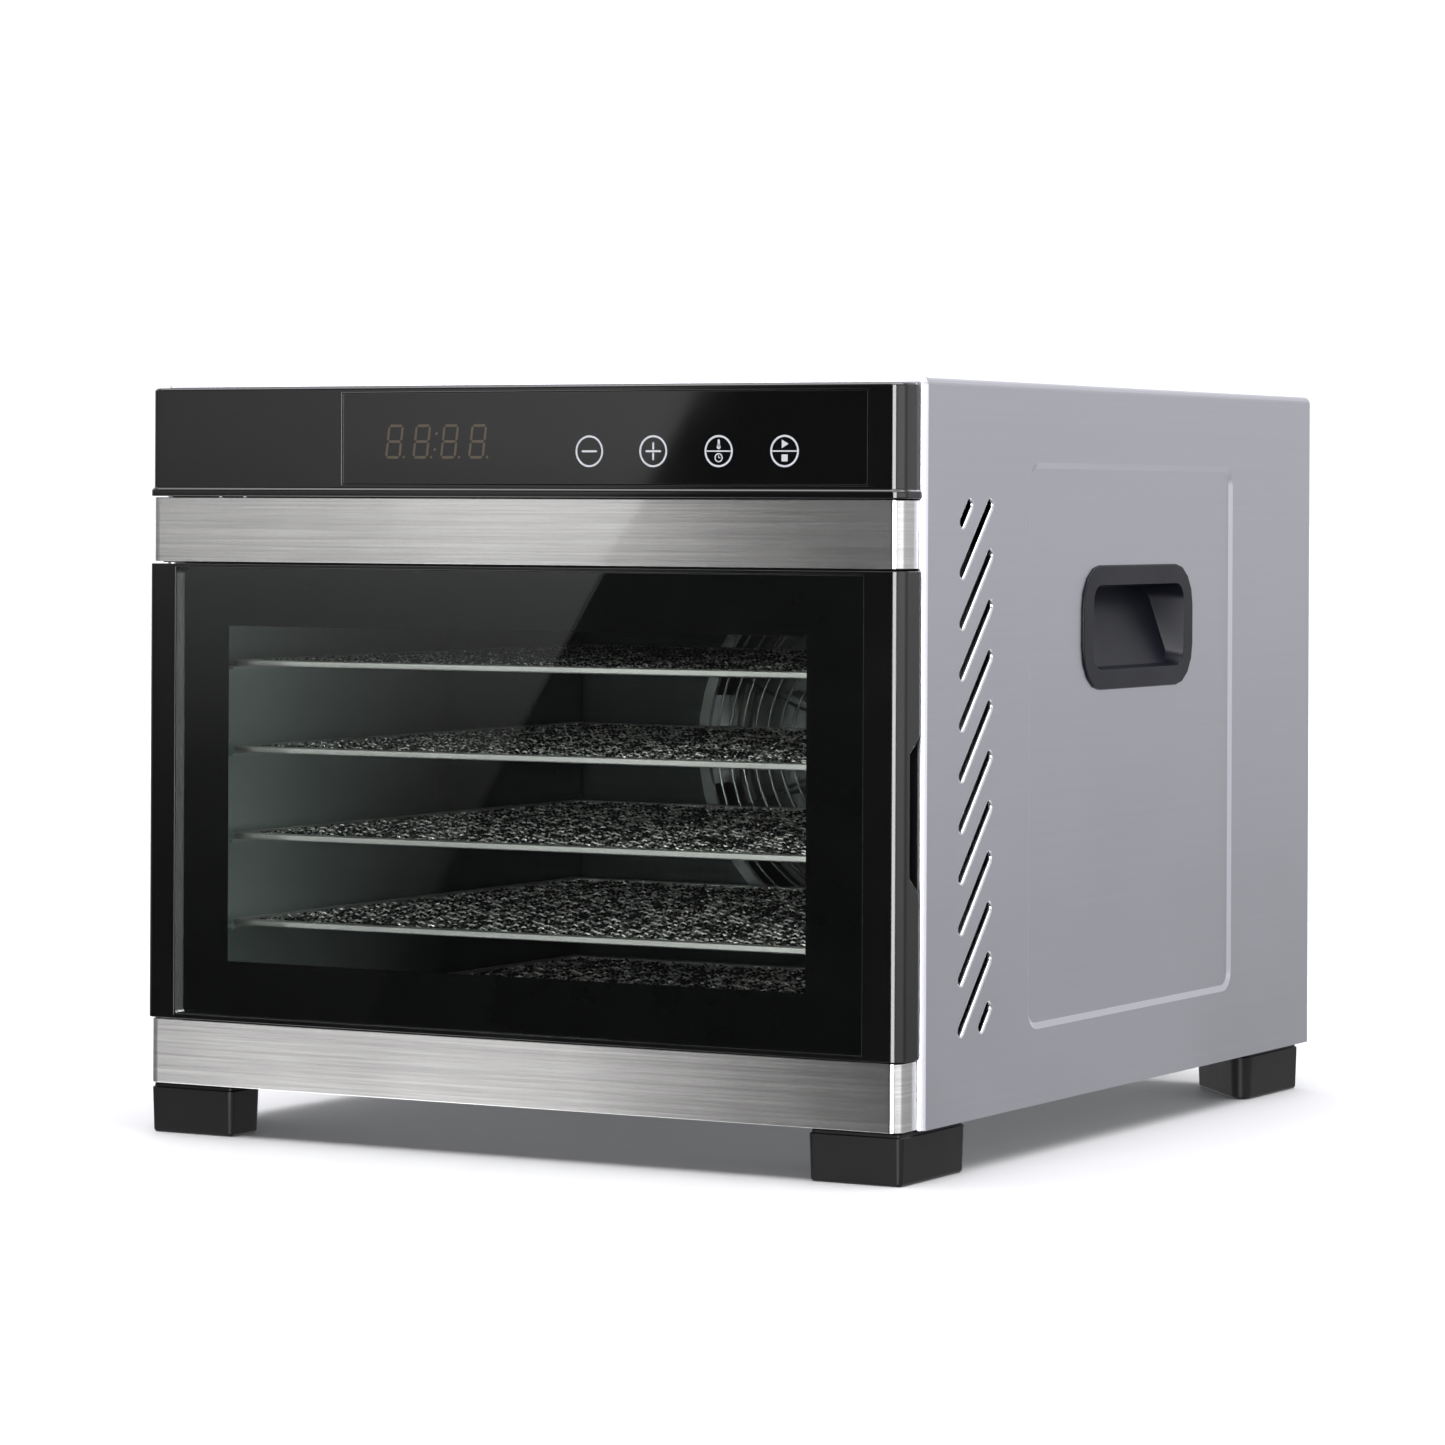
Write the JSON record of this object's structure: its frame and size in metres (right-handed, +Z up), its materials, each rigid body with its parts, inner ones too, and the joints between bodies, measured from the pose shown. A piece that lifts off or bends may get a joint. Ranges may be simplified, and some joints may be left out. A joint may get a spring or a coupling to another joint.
{
  "type": "food dehydrator",
  "caption": "Countertop food dehydrator: steel cabinet, hinged glass door, pull-out mesh trays, touch control panel, rear fan and heater, side carry handles.",
  "frame": {"origin": "centre of the footprint's bounding box, at the floor under the feet", "axes": "+X to the right seen from the front, +Y from the door to the rear fan cover, +Z up"},
  "size_m": [0.345, 0.436, 0.302],
  "materials": {
    "brushed_steel": "brushed",
    "bright_steel": "fine brushed",
    "zinc_steel": "zinc plated",
    "satin_black": "satin",
    "gloss_black": "gloss",
    "dark_grey": "satin",
    "rubber": "matt",
    "smoked_glass": "polished, printed black border",
    "silicone": "matt",
    "circuit_green": "solder mask",
    "copper": "enamelled wire",
    "lamination": "stacked sheet",
    "ferrite": "sintered",
    "heater_steel": "dull"
  },
  "bodies": {
    "cabinet": {"outer_wrap": "brushed_steel", "base_pan": "zinc_steel", "rear_panel": "zinc_steel", "rear_fan_cover": "satin_black", "cavity_liner": "brushed_steel", "back_baffle": "brushed_steel", "fan_ring": "bright_steel", "fan_guard": "bright_steel", "tray_rack_left": "brushed_steel", "tray_rack_right": "brushed_steel", "front_frame": "satin_black", "upper_trim_band": "bright_steel", "lower_trim_band": "bright_steel", "control_panel": "satin_black", "control_overlay": "gloss_black", "display_module": "gloss_black", "control_board": "circuit_green", "power_board": "circuit_green", "power_inlet": "satin_black", "left_handle": "dark_grey", "right_handle": "dark_grey", "foot_front_left": "rubber", "foot_front_right": "rubber", "foot_rear_left": "rubber", "foot_rear_right": "rubber", "heater_element": "heater_steel", "motor_bracket": "zinc_steel", "motor_stator": "lamination", "motor_coil": "copper", "thermal_cutout": "ferrite", "temperature_probe": "bright_steel", "hinge_bracket_upper": "zinc_steel", "hinge_bracket_lower": "zinc_steel", "magnet_upper": "ferrite", "magnet_lower": "ferrite"},
    "door": {"door_frame": "satin_black", "door_glass": "smoked_glass", "door_seal": "silicone", "hinge_pin_upper": "bright_steel", "hinge_pin_lower": "bright_steel", "strike_plate_upper": "zinc_steel", "strike_plate_lower": "zinc_steel"},
    "fan": {"fan_impeller": "zinc_steel", "motor_shaft": "bright_steel", "motor_rotor": "lamination"},
    "tray_1": {"tray_frame_1": "bright_steel", "tray_mesh_1": "brushed_steel"},
    "tray_2": {"tray_frame_2": "bright_steel", "tray_mesh_2": "brushed_steel"},
    "tray_3": {"tray_frame_3": "bright_steel", "tray_mesh_3": "brushed_steel"},
    "tray_4": {"tray_frame_4": "bright_steel", "tray_mesh_4": "brushed_steel"},
    "tray_5": {"tray_frame_5": "bright_steel", "tray_mesh_5": "brushed_steel"},
    "tray_6": {"tray_frame_6": "bright_steel", "tray_mesh_6": "brushed_steel"}
  },
  "joints": [
    {"name": "door_hinge", "type": "hinge", "parent": "cabinet", "child": "door", "pos_m": [-0.1625, -0.2108, 0.138], "axis": [0, 0, -1], "range_deg": [0, 120]},
    {"name": "fan_spin", "type": "hinge", "parent": "cabinet", "child": "fan", "pos_m": [0, 0.117, 0.147], "axis": [0, 1, 0], "continuous": true},
    {"name": "tray_1_slide", "type": "slide", "parent": "cabinet", "child": "tray_1", "axis": [0, -1, 0], "range_m": [0, 0.0535]},
    {"name": "tray_2_slide", "type": "slide", "parent": "cabinet", "child": "tray_2", "axis": [0, -1, 0], "range_m": [0, 0.0535]},
    {"name": "tray_3_slide", "type": "slide", "parent": "cabinet", "child": "tray_3", "axis": [0, -1, 0], "range_m": [0, 0.0535]},
    {"name": "tray_4_slide", "type": "slide", "parent": "cabinet", "child": "tray_4", "axis": [0, -1, 0], "range_m": [0, 0.0535]},
    {"name": "tray_5_slide", "type": "slide", "parent": "cabinet", "child": "tray_5", "axis": [0, -1, 0], "range_m": [0, 0.0535]},
    {"name": "tray_6_slide", "type": "slide", "parent": "cabinet", "child": "tray_6", "axis": [0, -1, 0], "range_m": [0, 0.0535]}
  ],
  "couplings": [
    {"joint": "tray_1_slide", "follows": "door_hinge", "m_per_rad": 0.0255},
    {"joint": "tray_2_slide", "follows": "door_hinge", "m_per_rad": 0.0255},
    {"joint": "tray_3_slide", "follows": "door_hinge", "m_per_rad": 0.0255},
    {"joint": "tray_4_slide", "follows": "door_hinge", "m_per_rad": 0.0255},
    {"joint": "tray_5_slide", "follows": "door_hinge", "m_per_rad": 0.0255},
    {"joint": "tray_6_slide", "follows": "door_hinge", "m_per_rad": 0.0255}
  ]
}
